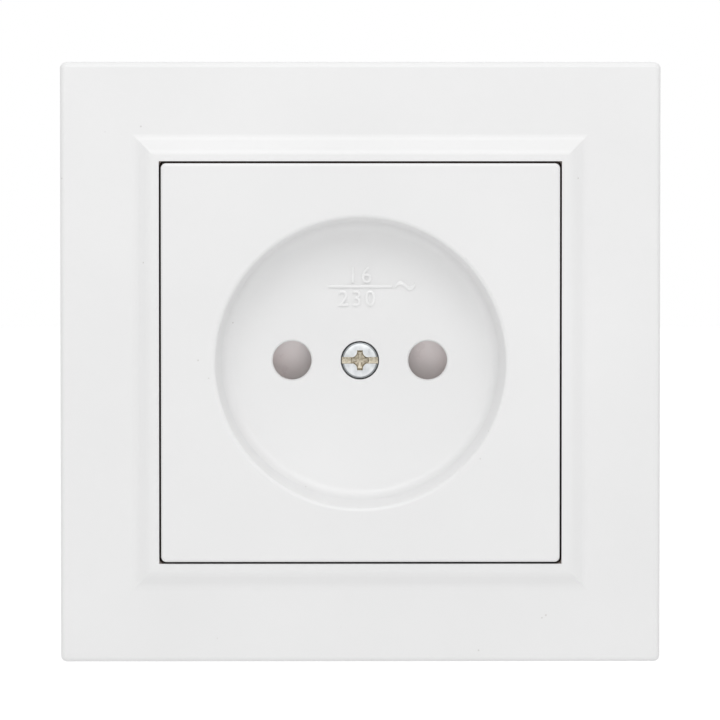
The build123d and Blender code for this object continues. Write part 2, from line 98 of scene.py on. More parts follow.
clear_selection()
camera_place = camera_aim + seen_from(camera_distance, camera_azimuth, camera_elevation)
bpy.ops.object.camera_add(location=camera_place)
camera = bpy.context.object
camera.name = "photo_camera"
look(camera, camera_aim)
camera.data.sensor_width = sensor_width
camera.data.lens = sensor_width * pixels_per_mm / MM * camera_distance / picture_width
camera.data.clip_start = 10 * MM
camera.data.clip_end = 20
bpy.context.scene.camera = camera


# The studio: a white room, a soft box in front and above, a larger one overhead, and a card near
# the camera that fills the pin holes. The room is pure white to the camera, to gloss and through
# glass. The floor is white paper, lifted there to the same white, and keeps the shadow.
def linear(hex_colour):
    """An sRGB hex colour as the linear numbers that a shader reads."""
    parts = [int(hex_colour[i:i + 2], 16) / 255 for i in (1, 3, 5)]
    return [p / 12.92 if p <= 0.04045 else ((p + 0.055) / 1.055) ** 2.4 for p in parts] + [1.0]


def add_node(tree, kind, settings=None, **inputs):
    """Adds a shader node. An input is a value or the output that feeds it, and is named as
    on the node, with _ for a space, or by its number after a _."""
    node = tree.nodes.new(kind)
    for name, value in (settings or {}).items():
        setattr(node, name, value)
    for name, value in inputs.items():
        place = int(name[1:]) if name[0] == "_" else name.replace("_", " ")
        socket = node.inputs[place]
        if isinstance(value, bpy.types.NodeSocket):
            tree.links.new(value, socket)
        else:
            socket.default_value = value
    return node


def seen_in_gloss(tree):
    """1 for rays from the camera and for rays seen in gloss or through glass."""
    path = add_node(tree, "ShaderNodeLightPath")
    gloss = add_node(tree, "ShaderNodeMath", {"operation": "MAXIMUM"},
                     _0=path.outputs["Is Glossy Ray"], _1=path.outputs["Is Transmission Ray"])
    either = add_node(tree, "ShaderNodeMath", {"operation": "MAXIMUM"},
                      _0=path.outputs["Is Camera Ray"], _1=gloss.outputs[0])
    return either.outputs[0]


room_light = 0.585
room = bpy.data.worlds.new("white_room")
room.use_nodes = True
tree = room.node_tree
tree.nodes.clear()
shown = add_node(tree, "ShaderNodeBackground", Color=linear("#FFFFFF"), Strength=1.0)
lit = add_node(tree, "ShaderNodeBackground", Color=linear("#FFFFFF"), Strength=room_light)
either = add_node(tree, "ShaderNodeMixShader", _0=seen_in_gloss(tree),
                  _1=lit.outputs[0], _2=shown.outputs[0])
add_node(tree, "ShaderNodeOutputWorld", Surface=either.outputs[0])
bpy.context.scene.world = room

soft_boxes = (
    # name, distance, azimuth, elevation, width, height, watts, seen in gloss
    ("soft_box_front", 400 * MM, 0, 31, 270 * MM, 190 * MM, 0.345, True),
    ("soft_box_overhead", 620 * MM, 25, 78, 420 * MM, 290 * MM, 0.457, True),
    ("fill_card", 700 * MM, 0, 4, 160 * MM, 160 * MM, 0.29, False),
)
for name, distance, azimuth, elevation, width, height, watts, in_gloss in soft_boxes:
    place = seen_from(distance, math.radians(azimuth), math.radians(elevation))
    bpy.ops.object.light_add(type="AREA", location=place)
    lamp = bpy.context.object
    lamp.name = name
    lamp.data.shape = "RECTANGLE"
    lamp.data.size = width
    lamp.data.size_y = height
    lamp.data.energy = watts
    look(lamp, Vector((0, 0, 0)))
    lamp.visible_glossy = in_gloss

floor_drop = 60 * MM
floor_size = 8
clear_selection()
bpy.ops.mesh.primitive_plane_add(size=floor_size, location=(0, 0, solid_box[0][2] - floor_drop))
floor = bpy.context.object
floor.name = "studio_floor"

# Uncoated paper: matt and even. Its own light lifts it to the room's white where it is seen, and
# leaves the shadow on it a little darker.
paper_lift = 0.5
paper = bpy.data.materials.new("white_paper")
paper.use_nodes = True
tree = paper.node_tree
tree.nodes.clear()
matt = add_node(tree, "ShaderNodeBsdfDiffuse", Color=linear("#F4F4F4"), Roughness=0.5)
glow = add_node(tree, "ShaderNodeEmission", Color=linear("#FFFFFF"), Strength=paper_lift)
lifted = add_node(tree, "ShaderNodeAddShader", _0=matt.outputs[0], _1=glow.outputs[0])
either = add_node(tree, "ShaderNodeMixShader", _0=seen_in_gloss(tree),
                  _1=matt.outputs[0], _2=lifted.outputs[0])
add_node(tree, "ShaderNodeOutputMaterial", Surface=either.outputs[0])
floor.data.materials.append(paper)


# The cover frame and the centre plate: the two white pieces that are seen from the room. Both
# are injection moulded in ABS from a polished tool with a fine satin finish. The frame drops
# over the strap, and the plate holds it there.
def start_material(name, colour, roughness, metallic=0.0):
    """A new material with one Principled shader. Returns the material, its tree, the shader
    and the Object coordinates that its patterns follow."""
    material = bpy.data.materials.new(name)
    material.use_nodes = True
    tree = material.node_tree
    tree.nodes.clear()
    shader = add_node(tree, "ShaderNodeBsdfPrincipled", Metallic=metallic)
    shader.inputs["Base Color"].default_value = linear(colour)
    shader.inputs["Roughness"].default_value = roughness
    add_node(tree, "ShaderNodeOutputMaterial", Surface=shader.outputs[0])
    place = add_node(tree, "ShaderNodeTexCoord").outputs["Object"]
    return material, tree, shader, place


def dress(material, *names):
    """Gives solid nodes a material."""
    for name in names:
        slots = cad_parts[name].data.materials
        slots.clear()
        slots.append(material)


# Moulded ABS: an opaque, neutral white with a satin gloss. The colour drifts a little where the
# melt flowed, a few specks of dust lie on it, and the joint between the two pieces is painted
# dark brown, as dust there with painted shade. The tool's grain is about 0.05 mm and a dust
# speck 0.1 mm across. Both are drawn 0.3 mm across, to show.
abs_index = 1.53
melt_flow = 22 * MM
polish_patch = 9 * MM
drawn_grain = 0.3 * MM
grain_depth = 0.0015 * MM
speck_spacing = 5 * MM
speck_reach = 0.16 * MM / speck_spacing
colour_mix = {"data_type": "RGBA"}
abs_white, tree, shader, place = start_material("moulded_abs", "#F7F7F7", 0.3)
flow = add_node(tree, "ShaderNodeTexNoise", Vector=place, Scale=1 / melt_flow, Detail=2.0)
drift = add_node(tree, "ShaderNodeMapRange", Value=flow.outputs[0], From_Min=0.2, From_Max=0.8)
body = add_node(tree, "ShaderNodeMix", colour_mix, _0=drift.outputs[0],
                _6=linear("#F5F5F5"), _7=linear("#F9F9F9"))
dust = add_node(tree, "ShaderNodeTexVoronoi", Vector=place, Scale=1 / speck_spacing)
specks = add_node(tree, "ShaderNodeMapRange", Value=dust.outputs["Distance"],
                  From_Min=speck_reach / 3, From_Max=speck_reach, To_Min=0.5, To_Max=0.0)
body = add_node(tree, "ShaderNodeMix", colour_mix, _0=specks.outputs[0],
                _6=body.outputs[2], _7=linear("#BDB8B3"))

# The dust and painted shade in the joint lie in a square ring just outside the plate's edge,
# and start a little behind the rim of the bezel.
plate_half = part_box("centre_plate")[1].x
rim_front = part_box("cover_frame")[0].y
joint_middle = plate_half + 0.15 * MM
joint_half = 0.16 * MM
joint_fade = 0.25 * MM
dust_and_shade_front = rim_front + 0.2 * MM
dust_and_shade_full = rim_front + 1.2 * MM
axes = add_node(tree, "ShaderNodeSeparateXYZ", Vector=place)
across = add_node(tree, "ShaderNodeMath", {"operation": "ABSOLUTE"}, _0=axes.outputs["X"])
upward = add_node(tree, "ShaderNodeMath", {"operation": "ABSOLUTE"}, _0=axes.outputs["Z"])
reach = add_node(tree, "ShaderNodeMath", {"operation": "MAXIMUM"},
                 _0=across.outputs[0], _1=upward.outputs[0])
past_middle = add_node(tree, "ShaderNodeMath", {"operation": "SUBTRACT"},
                       _0=reach.outputs[0], _1=joint_middle)
off_middle = add_node(tree, "ShaderNodeMath", {"operation": "ABSOLUTE"},
                      _0=past_middle.outputs[0])
beside = add_node(tree, "ShaderNodeMapRange", Value=off_middle.outputs[0],
                  From_Min=joint_half, From_Max=joint_fade, To_Min=1.0, To_Max=0.0)
behind = add_node(tree, "ShaderNodeMapRange", Value=axes.outputs["Y"],
                  From_Min=dust_and_shade_front, From_Max=dust_and_shade_full)
# Dust with painted shade: the joint is darkened towards brown where it runs back into the gap.
joint_dust_and_shade = add_node(tree, "ShaderNodeMath", {"operation": "MULTIPLY"},
                 _0=beside.outputs[0], _1=behind.outputs[0])
body = add_node(tree, "ShaderNodeMix", colour_mix, _0=joint_dust_and_shade.outputs[0],
                _6=body.outputs[2], _7=linear("#7D6655"))
tree.links.new(body.outputs[2], shader.inputs["Base Color"])
polish = add_node(tree, "ShaderNodeTexNoise", Vector=place, Scale=1 / polish_patch, Detail=3.0)
gloss = add_node(tree, "ShaderNodeMapRange", Value=polish.outputs[0],
                 From_Min=0.2, From_Max=0.8, To_Min=0.28, To_Max=0.33)
tree.links.new(gloss.outputs[0], shader.inputs["Roughness"])
grain = add_node(tree, "ShaderNodeTexNoise", Vector=place, Scale=1 / drawn_grain, Detail=1.0)
bump = add_node(tree, "ShaderNodeBump", Height=grain.outputs[0], Strength=1.0,
                Distance=grain_depth)
tree.links.new(bump.outputs[0], shader.inputs["Normal"])
shader.inputs["IOR"].default_value = abs_index
dress(abs_white, "cover_frame", "centre_plate")


# The rating figures on the floor of the plug well: plain numbers over and under a rule, with
# the sign for alternating current. They are cut in the tool, so they stand proud of the floor
# in the plate's own plastic. The tool is polished bright there, so they shine a little more,
# and their colour is painted a little whiter than the plate's, as a painted highlight.
def take(*pieces):
    """Selects these pieces alone. The last one is active."""
    clear_selection()
    for piece in pieces:
        piece.select_set(True)
    bpy.context.view_layer.objects.active = pieces[-1]


def fix_place(piece):
    """Puts a piece's place and turn into its mesh."""
    take(piece)
    bpy.ops.object.transform_apply(location=True, rotation=True, scale=True)


def close_mesh(piece):
    """Merges doubled points and turns the faces outwards."""
    take(piece)
    bpy.ops.object.mode_set(mode="EDIT")
    bpy.ops.mesh.select_all(action="SELECT")
    bpy.ops.mesh.remove_doubles(threshold=0.002 * MM)
    bpy.ops.mesh.normals_make_consistent(inside=False)
    bpy.ops.object.mode_set(mode="OBJECT")


def shape_with(piece, kind, **settings):
    """Adds a modifier with these settings and applies it."""
    take(piece)
    modifier = piece.modifiers.new("shaping", kind)
    for name, value in settings.items():
        setattr(modifier, name, value)
    bpy.ops.object.modifier_apply(modifier="shaping")


# ABS from a polished part of the tool: the plate's white, painted a little whiter as a painted
# highlight, with a sharper gloss. Wiping cloths have left it uneven, with streaks well under 1 mm
# wide that are drawn 1.5 mm wide, to show.
wiped_patch = 1.5 * MM
polished_abs_painted_highlight, tree, shader, place = start_material("polished_abs_painted_highlight", "#FDFDFD", 0.18)
wipe = add_node(tree, "ShaderNodeTexNoise", Vector=place, Scale=1 / wiped_patch, Detail=3.0)
gloss = add_node(tree, "ShaderNodeMapRange", Value=wipe.outputs[0],
                 From_Min=0.3, From_Max=0.7, To_Min=0.14, To_Max=0.26)
tree.links.new(gloss.outputs[0], shader.inputs["Roughness"])
# Painted highlight: a colour whiter than the plate's, streaked where the cloths wiped.
body = add_node(tree, "ShaderNodeMix", colour_mix, _0=wipe.outputs[0],
                _6=linear("#FAFAFA"), _7=linear("#FFFFFF"))
tree.links.new(body.outputs[2], shader.inputs["Base Color"])
shader.inputs["IOR"].default_value = abs_index

screw_stands_out = 0.2 * MM
floor_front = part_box("centre_screw")[0].y + screw_stands_out
figure_rise = 0.4 * MM
figure_sink = 0.05 * MM
figure_edge = 0.06 * MM
figure_middle = floor_front + (figure_sink - figure_rise) / 2
capital_share = 0.72
letter_spacing = 1.2
figures = (
    # words, height of the capitals, left end, foot, upward stretch and swell of the strokes
    ("16", 2.3 * MM, -1.8 * MM, 10.9 * MM, 1.0, 0.03 * MM),
    ("230", 2.25 * MM, -3.1 * MM, 7.65 * MM, 1.0, 0.03 * MM),
    ("~", 4.0 * MM, 4.7 * MM, 7.65 * MM, 1.9, -0.08 * MM),
)
marks = []
for words, height, left, foot, stretch, swell in figures:
    clear_selection()
    bpy.ops.object.text_add(location=(0, 0, 0))
    curve = bpy.context.object.data
    curve.body = words
    curve.size = height / capital_share
    curve.extrude = (figure_rise + figure_sink) / 2
    curve.resolution_u = 4
    curve.offset = swell
    curve.space_character = letter_spacing
    bpy.ops.object.convert(target="MESH")
    mark = bpy.context.object
    mark.location = (left, figure_middle, foot)
    mark.rotation_euler.x = math.radians(90)
    mark.scale.y = stretch
    fix_place(mark)
    marks.append(mark)

rule_left = -4.46 * MM
rule_right = 4.51 * MM
rule_z = 10.38 * MM
rule_width = 0.36 * MM
clear_selection()
bpy.ops.mesh.primitive_cube_add(
    size=1, location=((rule_left + rule_right) / 2, figure_middle, rule_z)
)
rule = bpy.context.object
rule.scale = (rule_right - rule_left, figure_rise + figure_sink, rule_width)
fix_place(rule)
take(*marks, rule)
bpy.ops.object.join()
rating = bpy.context.object
rating.name = "rating_figures"
close_mesh(rating)
shape_with(rating, "BEVEL", width=figure_edge, segments=2, limit_method="ANGLE",
           angle_limit=math.radians(50))
bpy.ops.object.shade_smooth_by_angle(angle=math.radians(40))
rating.data.materials.append(polished_abs_painted_highlight)
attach(rating, "socket")


# The centre screw: a steel machine screw, cold headed with a cross and a slot in one punch,
# thread rolled and zinc plated. It pulls the plate, and the frame under it, onto the base.
def turned(name, section, steps=64):
    """A turned piece: the section, pairs of radius and depth in metres, spun round Y."""
    clear_selection()
    mesh = bpy.data.meshes.new(name)
    piece = bpy.data.objects.new(name, mesh)
    bpy.context.collection.objects.link(piece)
    mesh.from_pydata([(r, y, 0) for r, y in section],
                     [(i, i + 1) for i in range(len(section) - 1)], [])
    take(piece)
    bpy.ops.object.mode_set(mode="EDIT")
    bpy.ops.mesh.select_all(action="SELECT")
    bpy.ops.mesh.spin(steps=steps, angle=2 * math.pi, center=(0, 0, 0), axis=(0, 1, 0))
    bpy.ops.object.mode_set(mode="OBJECT")
    close_mesh(piece)
    return piece


def cut(piece, tool):
    """Cuts a tool's shape out of a piece, and takes the tool away. The cut keeps its material."""
    shape_with(piece, "BOOLEAN", object=tool, operation="DIFFERENCE", solver="EXACT",
               material_mode="TRANSFER")
    take(tool)
    bpy.ops.object.delete()
    close_mesh(piece)


def slot_tool(length, width, depth, material):
    """The shape of a screwdriver slot along X, open at the front, y = 0."""
    clear_selection()
    bpy.ops.mesh.primitive_cube_add(size=1, location=(0, 0, 0))
    tool = bpy.context.object
    tool.scale = (length, 2 * depth, width)
    fix_place(tool)
    shape_with(tool, "BEVEL", width=width / 8, segments=2)
    tool.data.materials.append(material)
    return tool


def pick_faces(test):
    """In edit mode, selects the faces whose middle and normal pass the test, and no others."""
    bpy.ops.mesh.select_mode(type="FACE")
    bpy.ops.mesh.select_all(action="DESELECT")
    mesh = bmesh.from_edit_mesh(bpy.context.object.data)
    for face in mesh.faces:
        face.select_set(test(face.calc_center_median(), face.normal))
    mesh.select_flush(True)
    bmesh.update_edit_mesh(bpy.context.object.data)


def cross_tool(length, width, depth, material):
    """The shape of a cross recess, open at the front, y = 0: four arms with hollow curves
    between them, which run down to a blunt point."""
    arm = (length - width) / 2
    hollow = 0.85 * arm
    taper = 0.7
    blunt_point = 0.1
    facing = 0.9
    clear_selection()
    bpy.ops.mesh.primitive_cube_add(size=1, location=(0, 0, 0))
    tool = bpy.context.object
    tool.scale = (width, 2 * depth, width)
    fix_place(tool)
    bpy.ops.object.mode_set(mode="EDIT")
    for way in (Vector((1, 0, 0)), Vector((-1, 0, 0)), Vector((0, 0, 1)), Vector((0, 0, -1))):
        pick_faces(lambda middle, normal: normal.dot(way) > facing and middle.dot(way) > 0
                   and abs(middle.dot(Vector((way.z, 0, way.x)))) < width / 4)
        bpy.ops.mesh.extrude_region_move(TRANSFORM_OT_translate={"value": way * arm})
    bpy.ops.mesh.select_mode(type="EDGE")
    bpy.ops.mesh.select_all(action="DESELECT")
    mesh = bmesh.from_edit_mesh(tool.data)
    for edge in mesh.edges:
        ends = [v.co for v in edge.verts]
        upright = abs(ends[0].y - ends[1].y) > depth
        inner = all(max(abs(end.x), abs(end.z)) < 0.6 * width for end in ends)
        edge.select_set(upright and inner)
    bmesh.update_edit_mesh(tool.data)
    bpy.ops.mesh.bevel(offset=hollow, segments=6, affect="EDGES")
    pick_faces(lambda middle, normal: normal.y > facing)
    bpy.ops.transform.resize(value=(taper, 1, taper), center_override=(0, 0, 0))
    bpy.ops.mesh.extrude_region_move(TRANSFORM_OT_translate={"value": (0, depth / 4, 0)})
    bpy.ops.transform.resize(value=(blunt_point, 1, blunt_point), center_override=(0, 0, 0))
    bpy.ops.object.mode_set(mode="OBJECT")
    close_mesh(tool)
    tool.data.materials.append(material)
    return tool


def wind(outline, axis, turns, rise):
    """Winds a closed outline round an axis, right-handed, into a ridge or a coil of wire. The
    screw modifier carries it round, and its two ends are filled."""
    steps_per_turn = 28
    steps = round(steps_per_turn * turns)
    shape_with(outline, "SCREW", axis=axis, angle=2 * math.pi * turns, screw_offset=rise,
               steps=steps, render_steps=steps)
    bpy.ops.object.mode_set(mode="EDIT")
    bpy.ops.mesh.select_mode(type="EDGE")
    bpy.ops.mesh.select_all(action="DESELECT")
    bpy.ops.mesh.select_non_manifold(extend=False)
    bpy.ops.mesh.edge_face_add()
    bpy.ops.object.mode_set(mode="OBJECT")
    close_mesh(outline)


def add_thread(piece, radius, depth, pitch, start, end):
    """Winds a thread's ridge round a bar along Y, and joins it to the bar. The ridge has a flat
    crest, and its foot is sunk in the bar."""
    clear_selection()
    mesh = bpy.data.meshes.new("thread")
    ridge = bpy.data.objects.new("thread", mesh)
    bpy.context.collection.objects.link(ridge)
    root = radius - depth
    sunk = root - depth / 3
    crest_start = start + 0.38 * pitch
    crest_end = start + 0.5 * pitch
    foot_end = start + 0.88 * pitch
    outline = [(sunk, start), (root, start), (radius, crest_start), (radius, crest_end),
               (root, foot_end), (sunk, foot_end)]
    count = len(outline)
    mesh.from_pydata([(r, y, 0) for r, y in outline],
                     [(i, (i + 1) % count) for i in range(count)], [])
    turns = (end - start) / pitch - 1
    wind(ridge, "Y", turns, turns * pitch)
    ridge.data.materials.append(piece.data.materials[0])
    take(ridge, piece)
    bpy.ops.object.join()


def machine_screw(name, head_radius, head_height, shank_radius, length, pitch, material, tools):
    """A machine screw along Y, its head's face at y = 0: a turned blank with a rounded head,
    the driver's recess cut in it by the tools, and a rolled thread on its shank."""
    edge = 0.08 * head_radius
    thread_depth = 0.6 * pitch
    root = shank_radius - thread_depth
    screw = turned(name, [
        (0, 0),
        (head_radius - edge, 0.03 * edge),
        (head_radius - 0.35 * edge, 0.25 * edge),
        (head_radius - 0.08 * edge, 0.7 * edge),
        (head_radius, 1.3 * edge),
        (head_radius, head_height - 0.3 * edge),
        (head_radius - 0.3 * edge, head_height),
        (shank_radius, head_height),
        (shank_radius, head_height + 0.8 * pitch),
        (root, head_height + 1.3 * pitch),
        (root, length - 0.8 * pitch),
        (root - thread_depth, length),
        (0, length),
    ])
    screw.data.materials.append(material)
    for tool in tools:
        cut(screw, tool)
    add_thread(screw, shank_radius, thread_depth, pitch, start=head_height + pitch,
               end=length - thread_depth)
    take(screw)
    bpy.ops.object.shade_smooth_by_angle(angle=math.radians(32))
    return screw


def set_in_place(piece, node, turn, x=0.5, y=0.0, z=0.5):
    """Turns a piece, as angles in degrees about X, Y and Z, and puts its origin in a node's
    box, at a share of the box's width, depth and height."""
    low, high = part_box(node)
    piece.rotation_euler = [math.radians(angle) for angle in turn]
    piece.location = [a + (b - a) * share for a, b, share in zip(low, high, (x, y, z))]
    fix_place(piece)


# Bright zinc on steel: electroplated, near white with a faint blue, and clouded where the bath
# was slower. A grey ring of painted shade lies on the turned-down rim of the head.
bath_cloud = 0.9 * MM
rim_shade_start = 2.24 * MM
rim_shade_full = 2.34 * MM
bright_zinc, tree, shader, place = start_material("bright_zinc", "#E4E5E6", 0.3, metallic=1.0)
cloud = add_node(tree, "ShaderNodeTexNoise", Vector=place, Scale=1 / bath_cloud, Detail=4.0)
clouded = add_node(tree, "ShaderNodeMapRange", Value=cloud.outputs[0],
                   From_Min=0.3, From_Max=0.7)
body = add_node(tree, "ShaderNodeMix", colour_mix, _0=clouded.outputs[0],
                _6=linear("#C3C6C8"), _7=linear("#DCDEDF"))
flat_place = add_node(tree, "ShaderNodeVectorMath", {"operation": "MULTIPLY"},
                      _0=place, _1=(1, 0, 1))
off_axis = add_node(tree, "ShaderNodeVectorMath", {"operation": "LENGTH"},
                    _0=flat_place.outputs[0])
# Painted shade: the head's rim turns grey, by distance from the screw's axis.
painted_rim_shade = add_node(tree, "ShaderNodeMapRange", Value=off_axis.outputs["Value"],
               From_Min=rim_shade_start, From_Max=rim_shade_full)
body = add_node(tree, "ShaderNodeMix", colour_mix, _0=painted_rim_shade.outputs[0],
                _6=body.outputs[2], _7=linear("#85888A"))
tree.links.new(body.outputs[2], shader.inputs["Base Color"])
gloss = add_node(tree, "ShaderNodeMapRange", Value=cloud.outputs[0],
                 From_Min=0.3, From_Max=0.7, To_Min=0.27, To_Max=0.4)
tree.links.new(gloss.outputs[0], shader.inputs["Roughness"])

# Zinc in a punched recess: it keeps the punch's rough skin, where the plating stays dull and
# yellowish. The skin's scales are about 0.05 mm, and are drawn 0.35 mm wide, to show.
drawn_scales = 0.35 * MM
recess_zinc, tree, shader, place = start_material("recess_zinc", "#C9C0AE", 0.5, metallic=0.8)
scales = add_node(tree, "ShaderNodeTexNoise", Vector=place, Scale=1 / drawn_scales, Detail=3.0)
skin = add_node(tree, "ShaderNodeMapRange", Value=scales.outputs[0], From_Min=0.3, From_Max=0.7)
body = add_node(tree, "ShaderNodeMix", colour_mix, _0=skin.outputs[0],
                _6=linear("#B0A793"), _7=linear("#DAD3C4"))
tree.links.new(body.outputs[2], shader.inputs["Base Color"])
bump = add_node(tree, "ShaderNodeBump", Height=scales.outputs[0], Strength=0.6,
                Distance=0.01 * MM)
tree.links.new(bump.outputs[0], shader.inputs["Normal"])

driver_width = 0.92 * MM
centre_screw = machine_screw(
    "centre_screw_threaded", head_radius=2.55 * MM, head_height=2.2 * MM,
    shank_radius=1.45 * MM, length=15.8 * MM, pitch=0.5 * MM, material=bright_zinc,
    tools=(
        slot_tool(length=6 * MM, width=driver_width, depth=0.8 * MM, material=recess_zinc),
        cross_tool(length=3.3 * MM, width=driver_width, depth=1.3 * MM, material=recess_zinc),
    ),
)
set_in_place(centre_screw, "centre_screw", turn=(0, 0, 0))
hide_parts("centre_screw")
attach(centre_screw, "socket")


# The shutter and the tray it slides in. The shutter closes both pin holes from behind, and is
# moulded in acetal. The tray is moulded in polyamide, and staked to the back of the plate.
def speckle_plastic(name, low_colour, high_colour, roughness, spacing):
    """A moulded plastic without gloss: the filler shows as cloudy specks at this spacing, and
    the tool's spark erosion as a matt grain, 0.03 mm wide and drawn at 0.25 mm to show."""
    material, tree, shader, place = start_material(name, high_colour, roughness)
    filler = add_node(tree, "ShaderNodeTexNoise", Vector=place, Scale=1 / spacing, Detail=4.0)
    tone = add_node(tree, "ShaderNodeMapRange", Value=filler.outputs[0],
                    From_Min=0.3, From_Max=0.7)
    body = add_node(tree, "ShaderNodeMix", colour_mix, _0=tone.outputs[0],
                    _6=linear(low_colour), _7=linear(high_colour))
    tree.links.new(body.outputs[2], shader.inputs["Base Color"])
    gloss = add_node(tree, "ShaderNodeMapRange", Value=filler.outputs[0],
                     From_Min=0.3, From_Max=0.7,
                     To_Min=roughness - 0.05, To_Max=roughness + 0.08)
    tree.links.new(gloss.outputs[0], shader.inputs["Roughness"])
    eroded_skin = add_node(tree, "ShaderNodeTexNoise", Vector=place, Scale=1 / (0.25 * MM))
    bump = add_node(tree, "ShaderNodeBump", Height=eroded_skin.outputs[0], Strength=0.5,
                    Distance=0.004 * MM)
    tree.links.new(bump.outputs[0], shader.inputs["Normal"])
    return material


# Acetal is slippery and faintly pink white, with an even, waxy gloss. Natural polyamide is not
# coloured, so it is a warm, slightly mottled off-white, and duller.
acetal = speckle_plastic("acetal", "#FDF3F2", "#FFF8F7", roughness=0.3, spacing=3 * MM)
polyamide = speckle_plastic("natural_polyamide", "#E9E5D8", "#F1EEE4", roughness=0.45,
                            spacing=4 * MM)
dress(acetal, "shutter")
dress(polyamide, "shutter_retainer")


# The shutter's spring: wound from drawn steel wire. It pushes the shutter down over the pin
# holes, and closes up to a third of its length as the shutter opens.
def lined_steel(name, low_colour, high_colour, roughness, line_size):
    """Steel with lines in one direction, from drawing or rolling, and with faint stains. The
    line size is that of a line along X, Y and Z. Real lines are about 0.03 mm wide, and are
    drawn about ten times as wide, to show."""
    stain_patch = 7 * MM
    material, tree, shader, place = start_material(name, high_colour, roughness, metallic=1.0)
    run = add_node(tree, "ShaderNodeMapping", Vector=place, Scale=[1 / size for size in line_size])
    lines = add_node(tree, "ShaderNodeTexNoise", Vector=run.outputs[0], Scale=1.0, Detail=3.0)
    tone = add_node(tree, "ShaderNodeMapRange", Value=lines.outputs[0],
                    From_Min=0.3, From_Max=0.7)
    patch = add_node(tree, "ShaderNodeTexNoise", Vector=place, Scale=1 / stain_patch, Detail=3.0)
    stain = add_node(tree, "ShaderNodeMapRange", Value=patch.outputs[0],
                     From_Min=0.5, From_Max=0.75, To_Max=0.6)
    body = add_node(tree, "ShaderNodeMix", colour_mix, _0=tone.outputs[0],
                    _6=linear(low_colour), _7=linear(high_colour))
    body = add_node(tree, "ShaderNodeMix", colour_mix, _0=stain.outputs[0],
                    _6=body.outputs[2], _7=linear(low_colour))
    tree.links.new(body.outputs[2], shader.inputs["Base Color"])
    gloss = add_node(tree, "ShaderNodeMapRange", Value=lines.outputs[0],
                     From_Min=0.3, From_Max=0.7,
                     To_Min=roughness - 0.06, To_Max=roughness + 0.1)
    tree.links.new(gloss.outputs[0], shader.inputs["Roughness"])
    bump = add_node(tree, "ShaderNodeBump", Height=lines.outputs[0], Strength=0.4,
                    Distance=0.006 * MM)
    tree.links.new(bump.outputs[0], shader.inputs["Normal"])
    return material


spring_low, spring_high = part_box("shutter_spring")
wire_radius = 0.175 * MM
coil_turns = 6.5
coil_radius = (spring_high.x - spring_low.x) / 2 - wire_radius
coil_rise = spring_high.z - spring_low.z - 2 * wire_radius
clear_selection()
bpy.ops.mesh.primitive_circle_add(vertices=12, radius=wire_radius, rotation=(math.pi / 2, 0, 0),
                                  location=(coil_radius, 0, 0))
spring = bpy.context.object
spring.name = "shutter_spring_coil"
fix_place(spring)
wind(spring, "Z", coil_turns, coil_rise)
take(spring)
bpy.ops.object.shade_smooth_by_angle(angle=math.radians(40))
spring.location = (0, (spring_low.y + spring_high.y) / 2, spring_low.z + wire_radius)
fix_place(spring)

# Drawn wire: bright steel, with the fine lines that the die left round it.
drawn_wire = lined_steel("drawn_wire", "#9EA1A5", "#C6C8CA", roughness=0.28,
                         line_size=(0.4 * MM, 0.4 * MM, MM / 6))
spring.data.materials.append(drawn_wire)
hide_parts("shutter_spring")
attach(spring, "socket")
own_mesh(spring)


# The mounting strap and the spreading claws: stamped from rolled strip, 1.2 mm thick, and zinc
# plated. The strap is riveted to the base, and each claw is folded and rides on its screw.
line_width = MM / 3
line_length = 50 / 3 * MM

# Plated strip: a cool, light grey satin, whose rolling lines still show through the thin zinc,
# across the strap and along the claws' arms. The claws' strip is a shade darker.
plated_strip = lined_steel("plated_strip", "#B4B8BC", "#D6D9DB", roughness=0.36,
                           line_size=(line_length, line_width, line_width))
claw_strip = lined_steel("plated_claw_strip", "#ADB1B5", "#D0D3D6", roughness=0.38,
                         line_size=(line_width, line_length, line_width))
dress(plated_strip, "mounting_strap")
dress(claw_strip, "claw_right", "claw_left")


# The rivets and nuts: the rivets are headed from wire and close the strap on the base, and the
# nuts are pressed and tapped. All are steel, zinc plated in a barrel.
bath_patch = 1.6 * MM
dent_spacing = 0.7 * MM
dent_depth = 0.015 * MM

# Tumbled zinc: duller than the strip, in cloudy greys, with many small dents from the barrel.
tumbled_zinc, tree, shader, place = start_material("tumbled_zinc", "#C6C9CB", 0.42, metallic=1.0)
dents = add_node(tree, "ShaderNodeTexVoronoi", Vector=place, Scale=1 / dent_spacing)
dent = add_node(tree, "ShaderNodeMapRange", Value=dents.outputs["Distance"],
                From_Min=0.1, From_Max=0.6)
bath = add_node(tree, "ShaderNodeTexNoise", Vector=place, Scale=1 / bath_patch, Detail=4.0)
tone = add_node(tree, "ShaderNodeMapRange", Value=bath.outputs[0], From_Min=0.35, From_Max=0.65)
body = add_node(tree, "ShaderNodeMix", colour_mix, _0=tone.outputs[0],
                _6=linear("#AEB2B4"), _7=linear("#D3D5D6"))
tree.links.new(body.outputs[2], shader.inputs["Base Color"])
gloss = add_node(tree, "ShaderNodeMapRange", Value=bath.outputs[0],
                 From_Min=0.3, From_Max=0.7, To_Min=0.34, To_Max=0.52)
tree.links.new(gloss.outputs[0], shader.inputs["Roughness"])
bump = add_node(tree, "ShaderNodeBump", Height=dent.outputs[0], Strength=0.5,
                Distance=dent_depth)
tree.links.new(bump.outputs[0], shader.inputs["Normal"])
dress(tumbled_zinc, "centre_nut", "claw_nut_right", "claw_nut_left",
      "strap_rivet_upper_right", "strap_rivet_upper_left",
      "strap_rivet_lower_right", "strap_rivet_lower_left")


# The base and its back cover: the carrier of both poles. Both are pressed in a mineral filled
# thermoset, and two screws hold the cover on the base.
filler_spacing = 0.5 * MM

